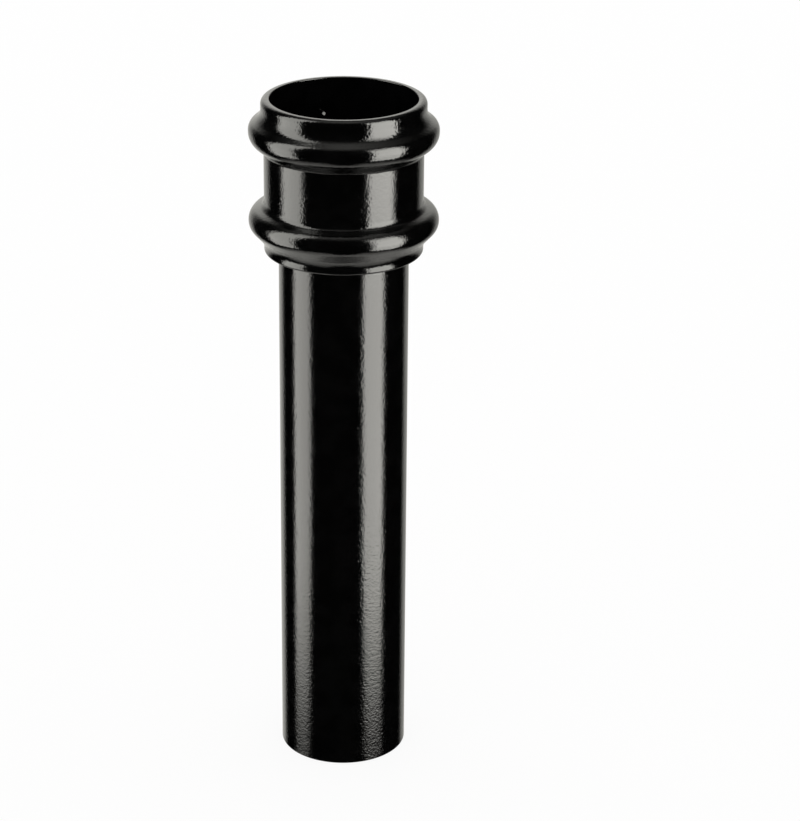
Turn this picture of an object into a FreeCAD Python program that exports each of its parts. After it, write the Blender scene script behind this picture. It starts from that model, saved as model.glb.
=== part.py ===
import FreeCAD
import Part
import math
import os

# Round rainwater downpipe with a cast socket collar, standing upright on its plain lower end.
# Frame: millimetres, +Z up along the pipe, origin at the centre of the pipe's lower end face.
# The collar's outline is given from the rim downwards, as lengths along the axis.

# Pipe
pipe_diameter = 65.0            # outside, the size such a pipe is sold by
pipe_wall = 2.0
pipe_showing = 274.6            # from the lower end face to the collar's underside
pipe_end_round = 0.8            # deburred outer edge of the lower end
pipe_seat_step = 0.4            # the seated top end is turned down by this much all round

# Socket inside the collar
socket_diameter = 73.2          # plain entry bore
socket_entry = 18.0             # length of the plain entry bore
socket_depth = 56.0             # from the rim to the stop ring
socket_draft = 0.7              # radial taper of the cast wall from the entry to the stop ring
stop_ring_height = 3.0          # ledge between the two pipe ends, flush with the pipe's bore
rim_inner_round = 1.0

# Centring ribs in the socket
rib_count = 3
rib_first_angle = 106.5         # degrees from +X
rib_width = 2.0
rib_clearance = 0.5             # radial play of the next pipe between the ribs
rib_top_depth = 18.2            # from the rim to the ribs' flat tops

# Neck under the rim
neck_diameter = 81.8
neck_length = 8.6
rim_outer_round = 2.2
neck_fillet = 6.3

# Upper bead
upper_bead_diameter = 94.1
upper_bead_rise = 4.7
upper_bead_crown = 6.9
upper_bead_fall = 6.1
upper_bead_upper_round = 4.8
upper_bead_lower_round = 7.5

# Plain band between the beads
band_diameter = 79.1
band_length = 28.0
band_fillet = 3.5

# Lower bead
lower_bead_diameter = 94.5
lower_bead_rise = 3.2
lower_bead_crown = 7.0
lower_bead_fall = 8.6
lower_bead_upper_round = 6.0
lower_bead_lower_round = 5.6

# Plain foot ring under the lower bead, with a flat underside round the pipe
foot_diameter = 79.2
foot_length = 5.1
foot_edge_round = 1.3

pipe_radius = pipe_diameter / 2
bore_radius = pipe_radius - pipe_wall
seat_radius = pipe_radius - pipe_seat_step
socket_radius = socket_diameter / 2
socket_end_radius = socket_radius - socket_draft
rib_tip_radius = pipe_radius + rib_clearance

neck_radius = neck_diameter / 2
upper_bead_radius = upper_bead_diameter / 2
band_radius = band_diameter / 2
lower_bead_radius = lower_bead_diameter / 2
foot_radius = foot_diameter / 2

depth_neck_end = neck_length
depth_upper_crown = depth_neck_end + upper_bead_rise
depth_upper_fall = depth_upper_crown + upper_bead_crown
depth_band = depth_upper_fall + upper_bead_fall
depth_band_end = depth_band + band_length
depth_lower_crown = depth_band_end + lower_bead_rise
depth_lower_fall = depth_lower_crown + lower_bead_crown
depth_foot = depth_lower_fall + lower_bead_fall
collar_height = depth_foot + foot_length

rim_z = pipe_showing + collar_height
stop_ring_z = rim_z - socket_depth
pipe_top_z = stop_ring_z - stop_ring_height

# How a corner of a turned outline is finished: the crowns of the beads are arcs, and the small
# edges and roots between them are bevels that stand for arcs of the size given.
ARC = "arc"
BEVEL = "bevel"
SHARP = (BEVEL, 0)


def corner_setback(kind, size, half_angle):
    """Length that a finish takes off the two sides of a corner, given half the angle between them.

    A bevel is just wide enough to be tangent to the middle of an arc of the same size.
    """
    if kind == ARC:
        return size / math.tan(half_angle)
    return (size / math.sin(half_angle) - size) / math.cos(half_angle)


def finished_outline(corners):
    """Closed wire in the XZ plane through (radius, height, (kind, size)) corners.

    A finish is limited where the two sides beside it leave it no more room.
    """
    points = [FreeCAD.Vector(r, 0, z) for r, z, _ in corners]
    count = len(points)
    towards = []
    half_angles = []
    setbacks = []
    for i, (_, _, (kind, size)) in enumerate(corners):
        before = (points[i - 1] - points[i]).normalize()
        after = (points[(i + 1) % count] - points[i]).normalize()
        towards.append((before, after))
        half_angles.append(before.getAngle(after) / 2)
        setbacks.append(corner_setback(kind, size, half_angles[i]))
    spans = []
    finishes = []
    for i, corner in enumerate(points):
        kind, _ = corners[i][2]
        setback = setbacks[i]
        for j in (i - 1, (i + 1) % count):
            side = corner.distanceToPoint(points[j])
            if setbacks[i] + setbacks[j] > side:
                setback = min(setback, side * setbacks[i] / (setbacks[i] + setbacks[j]))
        before, after = towards[i]
        first = corner + before * setback
        last = corner + after * setback
        spans.append((first, last))
        if setback == 0:
            finishes.append(None)
        elif kind == ARC:
            sagitta = setback / math.cos(half_angles[i]) - setback * math.tan(half_angles[i])
            middle = corner + (before + after).normalize() * sagitta
            finishes.append(Part.Arc(first, middle, last).toShape())
        else:
            finishes.append(Part.LineSegment(first, last).toShape())
    edges = []
    for i, (_, last) in enumerate(spans):
        if finishes[i]:
            edges.append(finishes[i])
        next_first = spans[(i + 1) % count][0]
        if last.distanceToPoint(next_first) > 1e-6:
            edges.append(Part.LineSegment(last, next_first).toShape())
    return Part.Wire(edges)


def turned(corners):
    """Solid of revolution about the pipe's axis."""
    face = Part.Face(finished_outline(corners))
    return face.revolve(FreeCAD.Vector(0, 0, 0), FreeCAD.Vector(0, 0, 1), 360)


def make_pipe():
    """Straight drawn tube; its turned-down top end seats in the collar against the stop ring."""
    return turned([
        (bore_radius, 0, SHARP),
        (pipe_radius, 0, (BEVEL, pipe_end_round)),
        (pipe_radius, pipe_showing, SHARP),
        (seat_radius, pipe_showing, SHARP),
        (seat_radius, pipe_top_z, SHARP),
        (bore_radius, pipe_top_z, SHARP),
    ])


def collar_body():
    """Turned form of the collar: neck, two beads, band and foot ring, with socket and pipe seat."""
    outside = [
        (neck_radius, 0, (BEVEL, rim_outer_round)),
        (neck_radius, depth_neck_end, (BEVEL, neck_fillet)),
        (upper_bead_radius, depth_upper_crown, (ARC, upper_bead_upper_round)),
        (upper_bead_radius, depth_upper_fall, (ARC, upper_bead_lower_round)),
        (band_radius, depth_band, SHARP),
        (band_radius, depth_band_end, (BEVEL, band_fillet)),
        (lower_bead_radius, depth_lower_crown, (ARC, lower_bead_upper_round)),
        (lower_bead_radius, depth_lower_fall, (ARC, lower_bead_lower_round)),
        (foot_radius, depth_foot, SHARP),
        (foot_radius, collar_height, (BEVEL, foot_edge_round)),
    ]
    inside = [
        (seat_radius, pipe_showing, SHARP),
        (seat_radius, pipe_top_z, SHARP),
        (bore_radius, pipe_top_z, SHARP),
        (bore_radius, stop_ring_z, SHARP),
        (socket_end_radius, stop_ring_z, SHARP),
        (socket_radius, rim_z - socket_entry, SHARP),
        (socket_radius, rim_z, (BEVEL, rim_inner_round)),
    ]
    return turned([(r, rim_z - depth, finish) for r, depth, finish in outside] + inside)


def centring_rib():
    """Upright rib with a rounded crest and a flat top, along +X from the socket wall inwards."""
    half_width = rib_width / 2
    crest_x = rib_tip_radius + half_width
    web_length = (socket_radius + neck_radius) / 2 - crest_x
    height = rim_z - rib_top_depth - stop_ring_z
    base = FreeCAD.Vector(crest_x, 0, stop_ring_z)
    crest = Part.makeCylinder(half_width, height, base)
    web = Part.makeBox(web_length, rib_width, height, base - FreeCAD.Vector(0, half_width, 0))
    return crest.fuse(web)


def make_collar():
    """The collar with its ribs, one casting."""
    rib = centring_rib()
    ribs = []
    for i in range(rib_count):
        angle = rib_first_angle + i * 360 / rib_count
        placed = rib.copy()
        placed.rotate(FreeCAD.Vector(0, 0, 0), FreeCAD.Vector(0, 0, 1), angle)
        ribs.append(placed)
    return collar_body().multiFuse(ribs).removeSplitter()


os.makedirs("parts", exist_ok=True)
for node, shape in {"pipe": make_pipe(), "collar": make_collar()}.items():
    solid = shape.Solids[0]
    print(node, "solids", len(shape.Solids), "valid", shape.isValid(), "volume", round(solid.Volume, 1))
    solid.exportStep(f"parts/{node}.step")
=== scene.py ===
"""Round rainwater downpipe with a cast socket collar, finished in gloss black powder coat.

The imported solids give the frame. The pipe and the collar are turned again here as fine meshes of the
same sizes, with the coating's surface, and stand on a pale floor between two tall softboxes.
"""

from __future__ import annotations

import logging
import math
from dataclasses import dataclass, field
from enum import Enum
from typing import Union

import bmesh
import bpy
from mathutils import Matrix, Vector

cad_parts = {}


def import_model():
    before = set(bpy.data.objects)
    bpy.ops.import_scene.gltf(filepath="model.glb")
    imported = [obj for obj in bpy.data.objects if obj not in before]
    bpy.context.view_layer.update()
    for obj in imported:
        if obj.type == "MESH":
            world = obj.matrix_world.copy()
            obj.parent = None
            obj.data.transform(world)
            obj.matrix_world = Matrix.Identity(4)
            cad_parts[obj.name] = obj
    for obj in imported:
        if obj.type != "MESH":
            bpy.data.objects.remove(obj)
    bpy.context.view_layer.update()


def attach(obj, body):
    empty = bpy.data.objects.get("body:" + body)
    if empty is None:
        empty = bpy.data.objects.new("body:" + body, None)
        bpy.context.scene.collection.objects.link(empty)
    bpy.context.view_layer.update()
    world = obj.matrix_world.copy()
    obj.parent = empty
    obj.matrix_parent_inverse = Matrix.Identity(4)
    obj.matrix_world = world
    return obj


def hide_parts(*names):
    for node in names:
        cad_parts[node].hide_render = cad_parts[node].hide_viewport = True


LOG = logging.getLogger("downpipe")

MM = 0.001
WELD = 1e-4 * MM
SHORTEST_SIDE = 1e-3 * MM
UP = Vector((0.0, 0.0, 1.0))
BODY = "root"
STUDIO_TINT = (1.0, 0.99, 0.93, 1.0)

Socket = bpy.types.NodeSocket
Feed = Union[Socket, float, tuple]
Span = tuple[float, float]


class Slot(Enum):
    """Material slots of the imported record."""

    PIPE = "pipe_black"
    COLLAR = "collar_black"


class RayView(Enum):
    """Kinds of ray that the studio answers in a way of its own."""

    CAMERA = "Is Camera Ray"
    GLOSSY = "Is Glossy Ray"


def radians(span: Span) -> Span:
    """Both ends of a span in degrees, in radians."""
    return math.radians(span[0]), math.radians(span[1])


def cosines(span: Span) -> Span:
    """Cosines of both ends of a span in degrees."""
    return math.cos(math.radians(span[0])), math.cos(math.radians(span[1]))


@dataclass(frozen=True)
class Corner:
    """One corner of a turned outline.

    Attributes:
        radius: Distance from the axis, in millimetres.
        height: Height above the floor, in millimetres.
        rounding: Radius of the arc that replaces the corner, 0 for a sharp one.
    """

    radius: float
    height: float
    rounding: float = 0.0

    @property
    def point(self) -> Vector:
        """Place of the corner in the XZ plane, in metres."""
        return Vector((self.radius * MM, 0.0, self.height * MM))


@dataclass
class TurnedOutline:
    """Closed outline in the XZ plane, drawn corner by corner and spun about the Z axis.

    Attributes:
        corners: Corners in order, anticlockwise when X points right and Z up.
        steps: Number of divisions round the axis.
        arc_step: Largest angle that one edge of a rounded corner spans, in degrees.
        crease: Faces that meet at a sharper angle than this keep a hard edge, in degrees.
    """

    corners: list[Corner]
    steps: int = 240
    arc_step: float = 6.0
    crease: float = 28.0

    def directions(self) -> list[Vector]:
        """Unit direction of the side that leaves each corner."""
        points = [corner.point for corner in self.corners]
        return [(points[(i + 1) % len(points)] - p).normalized() for i, p in enumerate(points)]

    def bends(self) -> list[float]:
        """Measures how far the outline turns left at each corner.

        Returns:
            Signed angles in radians, in the order of the corners.
        """
        ways = self.directions()
        return [
            math.atan2(
                ways[i - 1].x * way.z - ways[i - 1].z * way.x,
                ways[i - 1].x * way.x + ways[i - 1].z * way.z,
            )
            for i, way in enumerate(ways)
        ]

    def setbacks(self) -> list[float]:
        """Measures what each rounding takes off its two sides, limited by the room there.

        Returns:
            Lengths in metres, in the order of the corners.
        """
        points = [corner.point for corner in self.corners]
        wanted = [
            corner.rounding * MM * math.tan(abs(bend) / 2)
            for corner, bend in zip(self.corners, self.bends())
        ]
        fitted = []
        for i, setback in enumerate(wanted):
            limit = setback
            for j in (i - 1, (i + 1) % len(points)):
                side = (points[i] - points[j]).length
                if wanted[i] + wanted[j] > side:
                    limit = min(limit, side * wanted[i] / (wanted[i] + wanted[j]))
            fitted.append(limit)
        return fitted

    def draw(self, bm: bmesh.types.BMesh) -> None:
        """Draws the outline as a closed run of edges, with each rounding swept as an arc.

        Args:
            bm: Empty mesh that takes the outline.
        """
        ways, bends, setbacks = self.directions(), self.bends(), self.setbacks()
        points = [corner.point for corner in self.corners]
        pen = bm.verts.new(points[-1] + ways[-1] * setbacks[-1])
        for i, corner in enumerate(points):
            arc_start = corner - ways[i - 1] * setbacks[i]
            if (arc_start - pen.co).length > SHORTEST_SIDE:
                drawn = bmesh.ops.extrude_vert_indiv(bm, verts=[pen])
                pen = drawn["verts"][0]
                pen.co = arc_start
            if setbacks[i] > 0:
                radius = setbacks[i] / math.tan(abs(bends[i]) / 2)
                left = Vector((-ways[i - 1].z, 0.0, ways[i - 1].x))
                swept = bmesh.ops.spin(
                    bm,
                    geom=[pen],
                    cent=arc_start + left * math.copysign(radius, bends[i]),
                    axis=Vector((0.0, -1.0, 0.0)),
                    angle=bends[i],
                    steps=max(2, math.ceil(math.degrees(abs(bends[i])) / self.arc_step)),
                    use_duplicate=False,
                )
                pen = next(v for v in swept["geom_last"] if isinstance(v, bmesh.types.BMVert))
        bmesh.ops.remove_doubles(bm, verts=bm.verts[:], dist=WELD)

    def turn(self) -> bmesh.types.BMesh:
        """Spins the outline a full turn about the Z axis.

        Returns:
            A closed mesh with outward faces, smooth apart from its creases.
        """
        bm = bmesh.new()
        self.draw(bm)
        bmesh.ops.spin(
            bm,
            geom=bm.verts[:] + bm.edges[:],
            cent=Vector(),
            axis=UP,
            angle=math.tau,
            steps=self.steps,
            use_merge=True,
            use_duplicate=False,
        )
        bmesh.ops.remove_doubles(bm, verts=bm.verts[:], dist=WELD)
        bmesh.ops.recalc_face_normals(bm, faces=bm.faces[:])
        shade(bm, self.crease)
        return bm


def shade(bm: bmesh.types.BMesh, crease: float) -> None:
    """Smooths the faces and keeps hard edges where they meet sharply.

    Args:
        bm: Mesh to shade.
        crease: Angle between faces from which an edge is hard, in degrees.
    """
    for face in bm.faces:
        face.smooth = True
    for edge in bm.edges:
        edge.smooth = edge.calc_face_angle(math.pi) < math.radians(crease)


def bevel_edges(
    bm: bmesh.types.BMesh, edges: list[bmesh.types.BMEdge], size: float, segments: int = 8
) -> None:
    """Rounds edges.

    Args:
        bm: Mesh that holds the edges.
        edges: Edges to round.
        size: Width that the rounding takes off each side, in millimetres.
        segments: Faces across the rounding.
    """
    bmesh.ops.bevel(
        bm, geom=edges, affect="EDGES", offset=size * MM, segments=segments, profile=0.5, material=-1
    )


def object_from(bm: bmesh.types.BMesh, name: str, material: bpy.types.Material) -> bpy.types.Object:
    """Makes a finished mesh an object at the origin.

    Args:
        bm: Finished mesh in the object's frame, freed here.
        name: Name of the object and its mesh.
        material: Its finish.

    Returns:
        The new object, linked to the scene.
    """
    mesh = bpy.data.meshes.new(name)
    bm.to_mesh(mesh)
    bm.free()
    mesh.materials.append(material)
    made = bpy.data.objects.new(name, mesh)
    bpy.context.scene.collection.objects.link(made)
    return made


def piece_from(bm: bmesh.types.BMesh, name: str, material: bpy.types.Material) -> bpy.types.Object:
    """Makes a finished mesh a piece of the downpipe, with weighted normals.

    Args:
        bm: Finished mesh in the object's frame, freed here.
        name: Name of the piece.
        material: Its finish.

    Returns:
        The new piece, linked to the scene.
    """
    piece = object_from(bm, name, material)
    weighted = piece.modifiers.new("even_highlights", "WEIGHTED_NORMAL")
    weighted.keep_sharp = True
    LOG.info("%s: %d faces", name, len(piece.data.polygons))
    return piece


class NodeSheet:
    """Writes nodes into one shader node tree."""

    def __init__(self, tree: bpy.types.NodeTree) -> None:
        """Starts from an empty tree."""
        self.tree = tree
        tree.nodes.clear()

    def node(self, kind: str, settings: dict | None = None, **feeds: Feed) -> bpy.types.Node:
        """Adds a node.

        Args:
            kind: Blender's type name of the node.
            settings: Properties of the node by name.
            **feeds: Values or source sockets by input name, with underscores for spaces.

        Returns:
            The new node.
        """
        node = self.tree.nodes.new(kind)
        for key, value in (settings or {}).items():
            setattr(node, key, value)
        for key, value in feeds.items():
            self.feed(node.inputs[key.replace("_", " ")], value)
        return node

    def feed(self, target: Socket, value: Feed) -> None:
        """Links a source socket to an input, or sets the input's own value.

        Args:
            target: The input.
            value: Source socket or plain value.
        """
        if isinstance(value, bpy.types.NodeSocket):
            self.tree.links.new(value, target)
        else:
            target.default_value = value

    def math(self, operation: str, first: Feed, second: Feed = 0.0) -> Socket:
        """Adds a Math node.

        Args:
            operation: Blender's name of the operation.
            first: First operand.
            second: Second operand, where the operation has one.

        Returns:
            The result.
        """
        node = self.node("ShaderNodeMath", {"operation": operation})
        self.feed(node.inputs[0], first)
        self.feed(node.inputs[1], second)
        return node.outputs[0]

    def product(self, first: Feed, *others: Feed) -> Socket:
        """Multiplies values one after the other.

        Args:
            first: First factor.
            *others: Further factors.

        Returns:
            The product.
        """
        result = first
        for factor in others:
            result = self.math("MULTIPLY", result, factor)
        return result

    def ramp(self, value: Feed, low: Feed, high: Feed, start: Feed = 0.0, end: Feed = 1.0) -> Socket:
        """Blends smoothly from start to end while a value goes from low to high.

        Args:
            value: Source of the value.
            low: Value at which the blend starts.
            high: Value at which the blend ends.
            start: Result at and below low.
            end: Result at and above high.

        Returns:
            The blended number.
        """
        node = self.node(
            "ShaderNodeMapRange",
            {"interpolation_type": "SMOOTHSTEP"},
            Value=value,
            From_Min=low,
            From_Max=high,
            To_Min=start,
            To_Max=end,
        )
        return node.outputs["Result"]

    def noise(self, place: Socket, scale: Socket, detail: float, roughness: float = 0.5) -> Socket:
        """Adds a Noise Texture node.

        Args:
            place: Where the noise is read.
            scale: Number of its features per metre.
            detail: Number of finer layers in it.
            roughness: Strength of each finer layer against the one before.

        Returns:
            The noise, between 0 and 1.
        """
        node = self.node(
            "ShaderNodeTexNoise", Vector=place, Scale=scale, Detail=detail, Roughness=roughness
        )
        return node.outputs["Fac"]

    def mix_shaders(self, share: Feed, first: Socket, second: Socket) -> Socket:
        """Adds a Mix Shader node.

        Args:
            share: Share of the second shader.
            first: First shader.
            second: Second shader.

        Returns:
            The mixed shader.
        """
        node = self.node("ShaderNodeMixShader", Fac=share)
        self.feed(node.inputs[1], first)
        self.feed(node.inputs[2], second)
        return node.outputs["Shader"]


def blank_material(name: str) -> tuple[bpy.types.Material, NodeSheet]:
    """Makes a material without nodes.

    Args:
        name: Name of the material.

    Returns:
        The material and the sheet that writes its nodes.
    """
    made = bpy.data.materials.new(name)
    made.use_nodes = True
    return made, NodeSheet(made.node_tree)


@dataclass(frozen=True)
class CoatingSkin:
    """Shared node group for the skin of a sprayed and stoved powder coating.

    Attributes:
        name: Name of the group.
        peel_detail: Number of finer layers in the orange peel.
        peel_roughness: Strength of each finer layer of the peel.
        grain_ratio: Number of grains across one dimple of the peel.
        grain_share: Share of the grain in the height.
        wave_detail: Number of finer layers in the long wave.
        wave_share: Share of the long wave in the height.
    """

    name: str = "coating_skin"
    peel_detail: float = 2.0
    peel_roughness: float = 0.55
    grain_ratio: float = 1.7
    grain_share: float = 0.55
    wave_detail: float = 1.0
    wave_share: float = 0.12

    def group(self) -> bpy.types.NodeTree:
        """Builds the group once and returns it.

        Returns:
            A group with inputs Peel Size and Wave Size in millimetres, and outputs Height and Mottle.
        """
        found = bpy.data.node_groups.get(self.name)
        if found:
            return found
        tree = bpy.data.node_groups.new(self.name, "ShaderNodeTree")
        for label in ("Peel Size", "Wave Size"):
            tree.interface.new_socket(label, in_out="INPUT", socket_type="NodeSocketFloat")
        for label in ("Height", "Mottle"):
            tree.interface.new_socket(label, in_out="OUTPUT", socket_type="NodeSocketFloat")
        sheet = NodeSheet(tree)
        given = sheet.node("NodeGroupInput").outputs
        place = sheet.node("ShaderNodeTexCoord").outputs["Object"]
        peel_scale = sheet.math("DIVIDE", 1 / MM, given["Peel Size"])
        wave_scale = sheet.math("DIVIDE", 1 / MM, given["Wave Size"])
        grain_scale = sheet.product(peel_scale, self.grain_ratio)
        peel = sheet.noise(place, peel_scale, self.peel_detail, self.peel_roughness)
        grain = sheet.noise(place, grain_scale, 0.0)
        wave = sheet.noise(place, wave_scale, self.wave_detail)
        fine = sheet.product(grain, self.grain_share)
        coarse = sheet.product(wave, self.wave_share)
        height = sheet.math("ADD", sheet.math("ADD", peel, fine), coarse)
        sheet.node("NodeGroupOutput", Height=height, Mottle=wave)
        return tree


@dataclass(frozen=True)
class BlackPowderCoat:
    """Gloss black powder coat over aluminium.

    Attributes:
        name: Name of the material.
        deep: Linear grey of the coat where it lies thick.
        thin: Linear grey where it lies thin.
        gloss_low: Least roughness.
        gloss_high: Most roughness.
        mottle: Values of the skin's mottle between which grey and roughness change.
        peel_size: Width of one dimple of the orange peel, in millimetres.
        peel_depth: Depth of the skin's relief, in millimetres.
        wave_size: Width of the long wave, in millimetres.
        ior: Refractive index of the resin.
    """

    name: str
    deep: float = 0.0009
    thin: float = 0.0016
    gloss_low: float = 0.10
    gloss_high: float = 0.12
    mottle: Span = (0.35, 0.65)
    peel_size: float = 1.4
    peel_depth: float = 0.078
    wave_size: float = 9.0
    ior: float = 1.5

    def material(self) -> bpy.types.Material:
        """Builds the material.

        Returns:
            The new material.
        """
        made, sheet = blank_material(self.name)
        skin = sheet.node("ShaderNodeGroup", {"node_tree": CoatingSkin().group()})
        skin.inputs["Peel Size"].default_value = self.peel_size
        skin.inputs["Wave Size"].default_value = self.wave_size
        mottled = skin.outputs["Mottle"]
        tone = sheet.ramp(mottled, *self.mottle, self.deep, self.thin)
        colour = sheet.node("ShaderNodeCombineColor", Red=tone, Green=tone, Blue=tone)
        bump = sheet.node("ShaderNodeBump", Height=skin.outputs["Height"], Distance=self.peel_depth * MM)
        coat = sheet.node(
            "ShaderNodeBsdfPrincipled",
            Base_Color=colour.outputs["Color"],
            Roughness=sheet.ramp(mottled, *self.mottle, self.gloss_low, self.gloss_high),
            IOR=self.ior,
            Normal=bump.outputs["Normal"],
        )
        sheet.node("ShaderNodeOutputMaterial", Surface=coat.outputs["BSDF"])
        return made


@dataclass
class Pipe:
    """Straight extruded tube, plain at its lower end, seated in the collar at its top.

    All sizes are in millimetres.

    Attributes:
        diameter: Outside diameter.
        wall: Wall thickness.
        showing: Length below the collar.
        top: Height of the seated top end.
        end_rounding: Rounding of the lower end's outer edge; its inner edge has half of it.
        seat_step: Depth by which the seated end is turned down.
        finish: Coating of the tube.
    """

    diameter: float = 65.0
    wall: float = 2.0
    showing: float = 274.6
    top: float = 293.8
    end_rounding: float = 0.5
    seat_step: float = 0.4
    finish: BlackPowderCoat = field(default_factory=lambda: BlackPowderCoat("gloss_black_on_tube"))

    @property
    def radius(self) -> float:
        """Outside radius."""
        return self.diameter / 2

    @property
    def bore(self) -> float:
        """Radius of the waterway."""
        return self.radius - self.wall

    @property
    def seat(self) -> float:
        """Radius of the seated end."""
        return self.radius - self.seat_step

    def build(self) -> list[bpy.types.Object]:
        """Turns the tube.

        Returns:
            The tube, riding on its body in place of its solid.
        """
        outline = TurnedOutline([
            Corner(self.bore, 0.0, self.end_rounding / 2),
            Corner(self.radius, 0.0, self.end_rounding),
            Corner(self.radius, self.showing),
            Corner(self.seat, self.showing),
            Corner(self.seat, self.top),
            Corner(self.bore, self.top),
        ])
        tube = piece_from(outline.turn(), "downpipe_tube", self.finish.material())
        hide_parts("pipe")
        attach(tube, BODY)
        return [tube]


@dataclass
class Collar:
    """Cast socket collar with two beads, a plain band and a foot ring, and ribs inside.

    All sizes are in millimetres. The rises, crowns and falls of the beads and all other lengths run
    down the axis, one after the other from the rim. Depths are measured from the rim.

    Attributes:
        rim: Height of the rim above the floor.
        neck_radius: Outside of the rim and the neck.
        neck_length: Length of the neck, rim included.
        rim_outer_round: Rounding of the rim's outer edge.
        rim_inner_round: Rounding of the rim's inner edge.
        neck_fillet: Fillet from the neck into the upper bead.
        upper_bead_radius: Outside of the upper bead.
        upper_bead_rise: Length over which it comes out of the neck.
        upper_bead_crown: Length of its crown.
        upper_bead_fall: Length over which it goes back to the band.
        upper_bead_upper_round: Rounding above the crown.
        upper_bead_lower_round: Rounding below the crown.
        upper_bead_root: Fillet from the upper bead into the band.
        band_radius: Outside of the plain band.
        band_length: Length of the band.
        band_fillet: Fillet from the band into the lower bead.
        lower_bead_radius: Outside of the lower bead.
        lower_bead_rise: Length over which it comes out of the band.
        lower_bead_crown: Length of its crown.
        lower_bead_fall: Length over which it goes back to the foot ring.
        lower_bead_upper_round: Rounding above the crown.
        lower_bead_lower_round: Rounding below the crown.
        foot_radius: Outside of the foot ring.
        foot_root: Fillet from the lower bead into the foot ring.
        foot_length: Length of the foot ring.
        foot_edge_round: Rounding of its lower edge.
        socket_radius: Radius of the plain entry bore.
        socket_entry: Length of the entry bore.
        socket_depth: Depth of the stop ring.
        socket_draft: Taper of the cast wall from the entry to the stop ring.
        stop_ring_height: Height of the ledge between the two pipe ends.
        stop_ring_round: Rounding of the ledge's inner edge.
        stop_ring_root: Fillet from the ledge into the socket's wall.
        rib_count: Number of centring ribs.
        rib_first_angle: Angle of the first rib from +X, in degrees.
        rib_width: Width of a rib.
        rib_clearance: Play of the next pipe between the ribs.
        rib_top_depth: Depth at which a rib's top begins.
        rib_lead_in: Distance of the lead-in slope's upper end from the crest.
        rib_lead_angle: Angle of the slope to the axis, in degrees.
        rib_top_round: Rounding of the slope's edges.
        rib_side_round: Rounding along a rib's crest and top.
        rib_embed: Length by which a rib goes into the stop ring.
        rib_crease: Faces of a rib that meet at a sharper angle keep a hard edge, in degrees.
        pipe: The tube that the collar sits on.
        finish: Coating of the casting.
        rib_finish: Coating of the ribs, with a smoother skin.
    """

    rim: float = 352.8
    neck_radius: float = 40.9
    neck_length: float = 8.6
    rim_outer_round: float = 2.7
    rim_inner_round: float = 0.5
    neck_fillet: float = 6.9
    upper_bead_radius: float = 47.05
    upper_bead_rise: float = 4.7
    upper_bead_crown: float = 6.9
    upper_bead_fall: float = 6.1
    upper_bead_upper_round: float = 4.8
    upper_bead_lower_round: float = 7.5
    upper_bead_root: float = 2.0
    band_radius: float = 39.55
    band_length: float = 28.0
    band_fillet: float = 3.5
    lower_bead_radius: float = 47.25
    lower_bead_rise: float = 3.3
    lower_bead_crown: float = 6.9
    lower_bead_fall: float = 8.3
    lower_bead_upper_round: float = 6.4
    lower_bead_lower_round: float = 5.6
    foot_radius: float = 39.6
    foot_root: float = 8.0
    foot_length: float = 5.4
    foot_edge_round: float = 1.3
    socket_radius: float = 36.6
    socket_entry: float = 18.0
    socket_depth: float = 56.0
    socket_draft: float = 0.7
    stop_ring_height: float = 3.0
    stop_ring_round: float = 0.3
    stop_ring_root: float = 0.8
    rib_count: int = 3
    rib_first_angle: float = 107.5
    rib_width: float = 2.0
    rib_clearance: float = 0.5
    rib_top_depth: float = 16.8
    rib_lead_in: float = 0.9
    rib_lead_angle: float = 30.0
    rib_top_round: float = 0.1
    rib_side_round: float = 0.96
    rib_embed: float = 0.6
    rib_crease: float = 35.0
    pipe: Pipe = field(default_factory=Pipe)
    finish: BlackPowderCoat = field(default_factory=lambda: BlackPowderCoat("gloss_black_on_casting"))
    rib_finish: BlackPowderCoat = field(
        default_factory=lambda: BlackPowderCoat("gloss_black_on_ribs", peel_depth=0.015)
    )

    def outside(self) -> list[Corner]:
        """Lists the corners of the outside.

        Returns:
            The corners from the rim down to the foot's underside.
        """
        depth = 0.0
        corners = [Corner(self.neck_radius, self.rim, self.rim_outer_round)]
        for length, radius, rounding in (
            (self.neck_length, self.neck_radius, self.neck_fillet),
            (self.upper_bead_rise, self.upper_bead_radius, self.upper_bead_upper_round),
            (self.upper_bead_crown, self.upper_bead_radius, self.upper_bead_lower_round),
            (self.upper_bead_fall, self.band_radius, self.upper_bead_root),
            (self.band_length, self.band_radius, self.band_fillet),
            (self.lower_bead_rise, self.lower_bead_radius, self.lower_bead_upper_round),
            (self.lower_bead_crown, self.lower_bead_radius, self.lower_bead_lower_round),
            (self.lower_bead_fall, self.foot_radius, self.foot_root),
            (self.foot_length, self.foot_radius, self.foot_edge_round),
        ):
            depth += length
            corners.append(Corner(radius, self.rim - depth, rounding))
        return corners

    def inside(self) -> list[Corner]:
        """Lists the corners of the seat, the stop ring and the socket.

        Returns:
            The corners from the foot up to the rim.
        """
        stop_top = self.rim - self.socket_depth
        stop_under = stop_top - self.stop_ring_height
        return [
            Corner(self.pipe.seat, self.pipe.showing),
            Corner(self.pipe.seat, stop_under),
            Corner(self.pipe.bore, stop_under),
            Corner(self.pipe.bore, stop_top, self.stop_ring_round),
            Corner(self.socket_radius - self.socket_draft, stop_top, self.stop_ring_root),
            Corner(self.socket_radius, self.rim - self.socket_entry),
            Corner(self.socket_radius, self.rim, self.rim_inner_round),
        ]

    def casting(self) -> bmesh.types.BMesh:
        """Turns the collar's body.

        Returns:
            The closed mesh.
        """
        corners = self.outside() + self.inside()
        return TurnedOutline(corners[::-1]).turn()

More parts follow.
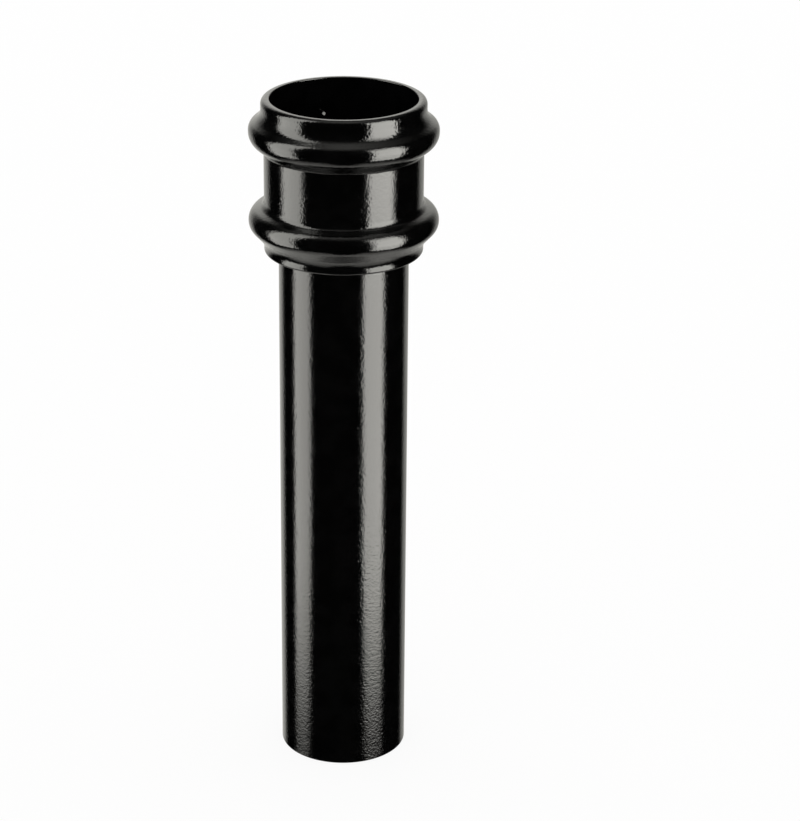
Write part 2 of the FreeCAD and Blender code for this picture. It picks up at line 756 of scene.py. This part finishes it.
    def rib(self) -> bmesh.types.BMesh:
        """Builds one centring rib along +X, rounded along its crest and top, with a lead-in slope.

        Returns:
            The closed mesh.
        """
        tip = self.pipe.radius + self.rib_clearance
        root = (self.socket_radius + self.neck_radius) / 2
        foot = self.rim - self.socket_depth - self.rib_embed
        top = self.rim - self.rib_top_depth
        bm = bmesh.new()
        bmesh.ops.create_cube(bm, size=1.0)
        bmesh.ops.scale(bm, verts=bm.verts[:], vec=Vector((root - tip, self.rib_width, top - foot)) * MM)
        bmesh.ops.translate(bm, verts=bm.verts[:], vec=Vector((root + tip, 0.0, top + foot)) / 2 * MM)
        middle_x, middle_z = (tip + root) / 2 * MM, (top + foot) / 2 * MM
        long_edges = [
            edge
            for edge in bm.edges
            if edge.verts[0].co.y * edge.verts[1].co.y > 0
            and (all(v.co.x < middle_x for v in edge.verts) or all(v.co.z > middle_z for v in edge.verts))
        ]
        bevel_edges(bm, long_edges, self.rib_side_round)
        lead = math.radians(self.rib_lead_angle)
        cut = bmesh.ops.bisect_plane(
            bm,
            geom=bm.verts[:] + bm.edges[:] + bm.faces[:],
            dist=WELD,
            plane_co=Vector((tip + self.rib_lead_in, 0.0, top)) * MM,
            plane_no=Vector((-math.cos(lead), 0.0, math.sin(lead))),
            clear_outer=True,
        )
        brow = [edge for edge in cut["geom_cut"] if isinstance(edge, bmesh.types.BMEdge)]
        bmesh.ops.contextual_create(bm, geom=brow)
        bevel_edges(bm, brow, self.rib_top_round, segments=2)
        return bm

    def ribs(self) -> bmesh.types.BMesh:
        """Sets the centring ribs round the socket.

        Returns:
            One mesh with a closed shell for each rib.
        """
        bm = self.rib()
        first = Matrix.Rotation(math.radians(self.rib_first_angle), 3, "Z")
        bmesh.ops.rotate(bm, verts=bm.verts[:], cent=Vector(), matrix=first)
        bmesh.ops.spin(
            bm,
            geom=bm.verts[:] + bm.edges[:] + bm.faces[:],
            cent=Vector(),
            axis=UP,
            angle=math.tau * (self.rib_count - 1) / self.rib_count,
            steps=self.rib_count - 1,
            use_duplicate=True,
        )
        bmesh.ops.recalc_face_normals(bm, faces=bm.faces[:])
        shade(bm, self.rib_crease)
        return bm

    def build(self) -> list[bpy.types.Object]:
        """Builds the casting and its ribs.

        Returns:
            Both pieces, riding on the body in place of the collar's solid.
        """
        casting = piece_from(self.casting(), "socket_collar", self.finish.material())
        ribs = piece_from(self.ribs(), "socket_centring_ribs", self.rib_finish.material())
        for piece in (casting, ribs):
            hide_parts("collar")
            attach(piece, BODY)
        return [casting, ribs]


@dataclass(frozen=True)
class Softbox:
    """Tall glowing board at one side, bright in reflections and plain as a lamp.

    Attributes:
        name: Name of the board.
        from_azimuth: Azimuth of its near edge, in degrees to the right of the camera's side.
        to_azimuth: Azimuth of its far edge.
        mirrored: Radiance that glossy surfaces see.
        shed: Radiance that it sheds as a lamp.
        reach: Distance from the axis, in metres.
        lowest: Height of its lower edge, in metres.
        highest: Height of its upper edge, in metres.
        soft_sides: Share of its half width over which it fades at the sides.
        soft_foot: Length over which it fades at its lower edge, in metres.
        soft_top: Length over which it fades at its upper edge, in metres.
        soft_corner: Added share over which its near side fades at the foot.
        lift: Share by which its mirrored radiance rises over lift_span.
        lift_span: Heights at which the rise starts and ends, in metres.
        tint: Its colour.
    """

    name: str
    from_azimuth: float
    to_azimuth: float
    mirrored: float
    shed: float
    reach: float = 1.0
    lowest: float = -0.60
    highest: float = 2.0
    soft_sides: float = 0.16
    soft_foot: float = 0.24
    soft_top: float = 1.3
    soft_corner: float = 0.8
    lift: float = 0.0
    lift_span: Span = (-0.08, 0.06)
    tint: tuple[float, float, float, float] = STUDIO_TINT

    def build(self) -> bpy.types.Object:
        """Builds the board.

        Returns:
            The board, unseen by the camera.
        """
        middle = math.radians((self.from_azimuth + self.to_azimuth) / 2)
        half = abs(math.radians(self.to_azimuth - self.from_azimuth)) / 2
        half_width = self.reach * math.tan(half)
        tall = self.highest - self.lowest
        upright = Matrix.Rotation(math.pi / 2, 3, "X")
        centre = Vector((0.0, -self.reach, (self.highest + self.lowest) / 2))
        bm = bmesh.new()
        bmesh.ops.create_grid(bm, x_segments=1, y_segments=1, size=0.5)
        bmesh.ops.scale(bm, verts=bm.verts[:], vec=Vector((2 * half_width, tall, 1.0)))
        bmesh.ops.rotate(bm, verts=bm.verts[:], cent=Vector(), matrix=upright)
        bmesh.ops.translate(bm, verts=bm.verts[:], vec=centre)
        board = object_from(bm, self.name, self.glow(half_width))
        board.matrix_world = Matrix.Rotation(middle, 4, "Z")
        board.visible_camera = False
        board.visible_shadow = False
        return board

    def glow(self, half_width: float) -> bpy.types.Material:
        """Builds the board's material.

        Args:
            half_width: Half of the board's width, in metres.

        Returns:
            An emission that fades at the sides, at the foot and at the top.
        """
        made, sheet = blank_material(self.name)
        place = sheet.node(
            "ShaderNodeSeparateXYZ", Vector=sheet.node("ShaderNodeTexCoord").outputs["Object"]
        )
        x, z = place.outputs["X"], place.outputs["Z"]
        nearness = math.copysign(1.0, self.from_azimuth - self.to_azimuth)
        towards_near = sheet.product(x, nearness)
        towards_far = sheet.product(x, -nearness)
        foot = sheet.ramp(z, self.lowest, self.lowest + self.soft_foot)
        cut = sheet.product(sheet.math("SUBTRACT", 1.0, foot), half_width * self.soft_corner)
        full_to = half_width * (1 - self.soft_sides)
        near = sheet.ramp(towards_near, sheet.math("SUBTRACT", full_to, cut), half_width, 1.0, 0.0)
        far = sheet.ramp(towards_far, full_to, half_width, 1.0, 0.0)
        top = sheet.ramp(z, self.highest - self.soft_top, self.highest, 1.0, 0.0)
        shape = sheet.product(near, far, sheet.product(foot, top))
        glossy = sheet.node("ShaderNodeLightPath").outputs[RayView.GLOSSY.value]
        lifted = sheet.ramp(z, *self.lift_span, self.mirrored, self.mirrored * (1 + self.lift))
        level = sheet.math(
            "ADD", sheet.product(glossy, lifted), sheet.ramp(glossy, 0.0, 1.0, self.shed, 0.0)
        )
        glow = sheet.node("ShaderNodeEmission", Color=self.tint, Strength=sheet.product(shape, level))
        sheet.node("ShaderNodeOutputMaterial", Surface=glow.outputs["Emission"])
        return made


@dataclass(frozen=True)
class Surroundings:
    """Plain pale world with what a glossy surface mirrors of a studio.

    Spans of azimuth and height are in degrees: azimuth away from straight behind the object, height
    above the horizon. Other spans are parts of the unit direction, to the right or to the back.

    Attributes:
        ambient: Radiance that lights matt surfaces.
        backdrop: Radiance of the backdrop behind the object.
        backdrop_sides: Azimuths at which it ends and is full.
        backdrop_top: Heights over which it fades upwards.
        backdrop_rise: Heights over which it changes towards its upper edge.
        backdrop_core: Azimuths at which that change is least and greatest.
        backdrop_gain: Factors of the change at these azimuths.
        backdrop_right: Parts to the right over which it dims.
        backdrop_dimmed: Factor that the dimming leaves.
        under: Radiance from below the object.
        under_edge: Heights at which the light from below is full and ends.
        under_bow: Angle by which that edge rises to the sides, in degrees.
        under_sides: Sideways parts between which it rises.
        over: Radiance from above the object.
        over_rise: Heights over which the light from above comes up.
        over_sides: Sideways parts over which it fades.
        over_back: Parts to the back over which it comes up.
        tint: Colour of what a glossy surface mirrors.
    """

    ambient: float = 1.0
    backdrop: float = 0.80
    backdrop_sides: Span = (48.0, 34.0)
    backdrop_top: Span = (28.0, 42.0)
    backdrop_rise: Span = (-12.0, 22.0)
    backdrop_core: Span = (38.0, 15.0)
    backdrop_gain: Span = (0.28, 1.85)
    backdrop_right: Span = (0.0, 0.2)
    backdrop_dimmed: float = 0.72
    under: float = 1.0
    under_edge: Span = (-80.0, -63.0)
    under_bow: float = 18.0
    under_sides: Span = (0.05, 0.35)
    over: float = 0.75
    over_rise: Span = (35.0, 95.0)
    over_sides: Span = (0.5, 0.9)
    over_back: Span = (-0.8, -0.05)
    tint: tuple[float, float, float, float] = STUDIO_TINT

    def build(self) -> None:
        """Builds the scene's world."""
        world = bpy.data.worlds.new("studio")
        world.use_nodes = True
        bpy.context.scene.world = world
        sheet = NodeSheet(world.node_tree)
        mirrored = self.mirrored(sheet)
        rays = sheet.node("ShaderNodeLightPath")
        seen = sheet.ramp(rays.outputs[RayView.CAMERA.value], 0.0, 1.0, self.ambient, 1.0)
        glossy = rays.outputs[RayView.GLOSSY.value]
        matt = sheet.product(sheet.math("SUBTRACT", 1.0, glossy), seen)
        sky = sheet.node("ShaderNodeBackground", Color=(1.0, 1.0, 1.0, 1.0), Strength=matt)
        studio = sheet.node(
            "ShaderNodeBackground", Color=self.tint, Strength=sheet.product(glossy, mirrored)
        )
        both = sheet.node("ShaderNodeAddShader")
        sheet.feed(both.inputs[0], sky.outputs["Background"])
        sheet.feed(both.inputs[1], studio.outputs["Background"])
        sheet.node("ShaderNodeOutputWorld", Surface=both.outputs["Shader"])

    def mirrored(self, sheet: NodeSheet) -> Socket:
        """Writes what a glossy surface sees in each direction.

        Args:
            sheet: Sheet of the world's nodes.

        Returns:
            The radiance.
        """
        way = sheet.node(
            "ShaderNodeSeparateXYZ", Vector=sheet.node("ShaderNodeTexCoord").outputs["Generated"]
        )
        right, back, up = (way.outputs[axis] for axis in "XYZ")
        height = sheet.math("ARCSINE", up)
        aside = sheet.math("ABSOLUTE", right)
        below = self.below(sheet, height, aside)
        around = self.around(sheet, right, back, height)
        overhead = self.overhead(sheet, back, height, aside)
        return sheet.math("MAXIMUM", below, sheet.math("ADD", around, overhead))

    def below(self, sheet: NodeSheet, height: Socket, aside: Socket) -> Socket:
        """Writes the light from below, whose edge rises to the sides.

        Args:
            sheet: Sheet of the world's nodes.
            height: Angle above the horizon.
            aside: Sideways part of the direction.

        Returns:
            Its radiance.
        """
        raised = sheet.ramp(aside, *self.under_sides, 0.0, math.radians(self.under_bow))
        full, end = (sheet.math("ADD", raised, angle) for angle in radians(self.under_edge))
        return sheet.ramp(height, full, end, self.under, 0.0)

    def around(self, sheet: NodeSheet, right: Socket, back: Socket, height: Socket) -> Socket:
        """Writes the backdrop, brightest behind the object and dimmer to its right.

        Args:
            sheet: Sheet of the world's nodes.
            right: Part of the direction to the right.
            back: Part of the direction to the back.
            height: Angle above the horizon.

        Returns:
            Its radiance.
        """
        squares = sheet.math("ADD", sheet.product(right, right), sheet.product(back, back))
        flat = sheet.math("MAXIMUM", sheet.math("SQRT", squares), 1e-4)
        facing = sheet.math("DIVIDE", back, flat)
        behind = sheet.ramp(facing, *cosines(self.backdrop_sides), 0.0, self.backdrop)
        core = sheet.ramp(facing, *cosines(self.backdrop_core), *self.backdrop_gain)
        lit = sheet.ramp(height, *radians(self.backdrop_rise), 1.0, core)
        fading = sheet.ramp(height, *radians(self.backdrop_top), 1.0, 0.0)
        dimmer = sheet.ramp(right, *self.backdrop_right, 1.0, self.backdrop_dimmed)
        return sheet.product(behind, lit, fading, dimmer)

    def overhead(self, sheet: NodeSheet, back: Socket, height: Socket, aside: Socket) -> Socket:
        """Writes the light from above, narrow and kept from the front.

        Args:
            sheet: Sheet of the world's nodes.
            back: Part of the direction to the back.
            height: Angle above the horizon.
            aside: Sideways part of the direction.

        Returns:
            Its radiance.
        """
        above = sheet.ramp(height, *radians(self.over_rise), 0.0, self.over)
        central = sheet.ramp(aside, *self.over_sides, 1.0, 0.0)
        rearward = sheet.ramp(back, *self.over_back)
        return sheet.product(above, central, rearward)


@dataclass(frozen=True)
class Floor:
    """Plain pale floor that keeps the object's shadow.

    Attributes:
        half_side: Half of its side, in metres.
        drop: Gap under the object, in metres.
        pale: Its colour.
        own_white: Share of plain white that the camera sees beside the shadow.
    """

    half_side: float = 6.0
    drop: float = 0.0002
    pale: float = 0.97
    own_white: float = 0.9

    def build(self) -> bpy.types.Object:
        """Builds the floor.

        Returns:
            The floor.
        """
        bm = bmesh.new()
        bmesh.ops.create_grid(bm, x_segments=1, y_segments=1, size=self.half_side)
        bmesh.ops.translate(bm, verts=bm.verts[:], vec=Vector((0.0, 0.0, -self.drop)))
        floor = object_from(bm, "floor", self.paint())
        return floor

    def paint(self) -> bpy.types.Material:
        """Builds the floor's material.

        Returns:
            A material that is white to the camera, pale as a surface and unseen in the gloss.
        """
        made, sheet = blank_material("pale_floor")
        rays = sheet.node("ShaderNodeLightPath").outputs
        surface = sheet.node("ShaderNodeBsdfDiffuse", Color=(self.pale, self.pale, self.pale, 1.0))
        white = sheet.node("ShaderNodeEmission", Strength=1.0)
        clear = sheet.node("ShaderNodeBsdfTransparent")
        share = sheet.product(rays[RayView.CAMERA.value], self.own_white)
        seen = sheet.mix_shaders(share, surface.outputs["BSDF"], white.outputs["Emission"])
        mixed = sheet.mix_shaders(rays[RayView.GLOSSY.value], seen, clear.outputs["BSDF"])
        sheet.node("ShaderNodeOutputMaterial", Surface=mixed)
        return made


@dataclass(frozen=True)
class Camera:
    """Camera at the photograph's place.

    Attributes:
        away: Distance in front of the pipe's axis, in metres.
        height: Height above the floor, in metres.
        down: Angle below the horizon, in degrees.
        right: Angle by which it looks to the right of the axis, in degrees.
        roll: Roll about the line of sight, in degrees.
        lens: Focal length, in millimetres.
        sensor: Width of the sensor, in millimetres.
        nearest: Distance from which it sees, in metres.
    """

    away: float = 1.3188
    height: float = 0.73975
    down: float = 22.718
    right: float = 1.2506
    roll: float = 0.549
    lens: float = 122.77
    sensor: float = 36.0
    nearest: float = 0.01

    def build(self) -> bpy.types.Object:
        """Places the camera and makes it the scene's.

        Returns:
            The camera.
        """
        data = bpy.data.cameras.new("camera")
        data.lens = self.lens
        data.sensor_width = self.sensor
        data.clip_start = self.nearest
        camera = bpy.data.objects.new("camera", data)
        camera.matrix_world = (
            Matrix.Translation((0.0, -self.away, self.height))
            @ Matrix.Rotation(-math.radians(self.right), 4, "Z")
            @ Matrix.Rotation(math.radians(90.0 - self.down), 4, "X")
            @ Matrix.Rotation(math.radians(self.roll), 4, "Z")
        )
        bpy.context.scene.collection.objects.link(camera)
        bpy.context.scene.camera = camera
        return camera


@dataclass
class Studio:
    """The floor, the light and the camera round the object.

    Attributes:
        floor: The floor under it.
        surroundings: The world round it.
        camera: The camera in front of it.
        left: Softbox on the left.
        right: Softbox on the right.
    """

    floor: Floor = field(default_factory=Floor)
    surroundings: Surroundings = field(default_factory=Surroundings)
    camera: Camera = field(default_factory=Camera)
    left: Softbox = field(
        default_factory=lambda: Softbox(
            "softbox_left", -60.0, -99.0, mirrored=4.95, shed=0.8, highest=4.0, soft_top=3.2, lift=0.1
        )
    )
    right: Softbox = field(
        default_factory=lambda: Softbox(
            "softbox_right", 33.5, 76.0, mirrored=7.6, shed=0.8, lowest=-0.58, lift=0.28
        )
    )

    def build(self) -> None:
        """Builds everything and sets a plain view of the colours."""
        for member in (self.camera, self.surroundings, self.floor, self.left, self.right):
            member.build()
        bpy.context.scene.view_settings.view_transform = "Standard"


def main() -> None:
    """Loads the frame, builds the studio and dresses the pipe and its collar."""
    logging.basicConfig(level=logging.INFO, format="%(name)s: %(message)s")
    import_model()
    Studio().build()
    pipe = Pipe()
    for assembly in (pipe, Collar(pipe=pipe)):
        for piece in assembly.build():
            LOG.info("%s stands in place", piece.name)


if __name__ == "__main__":
    main()
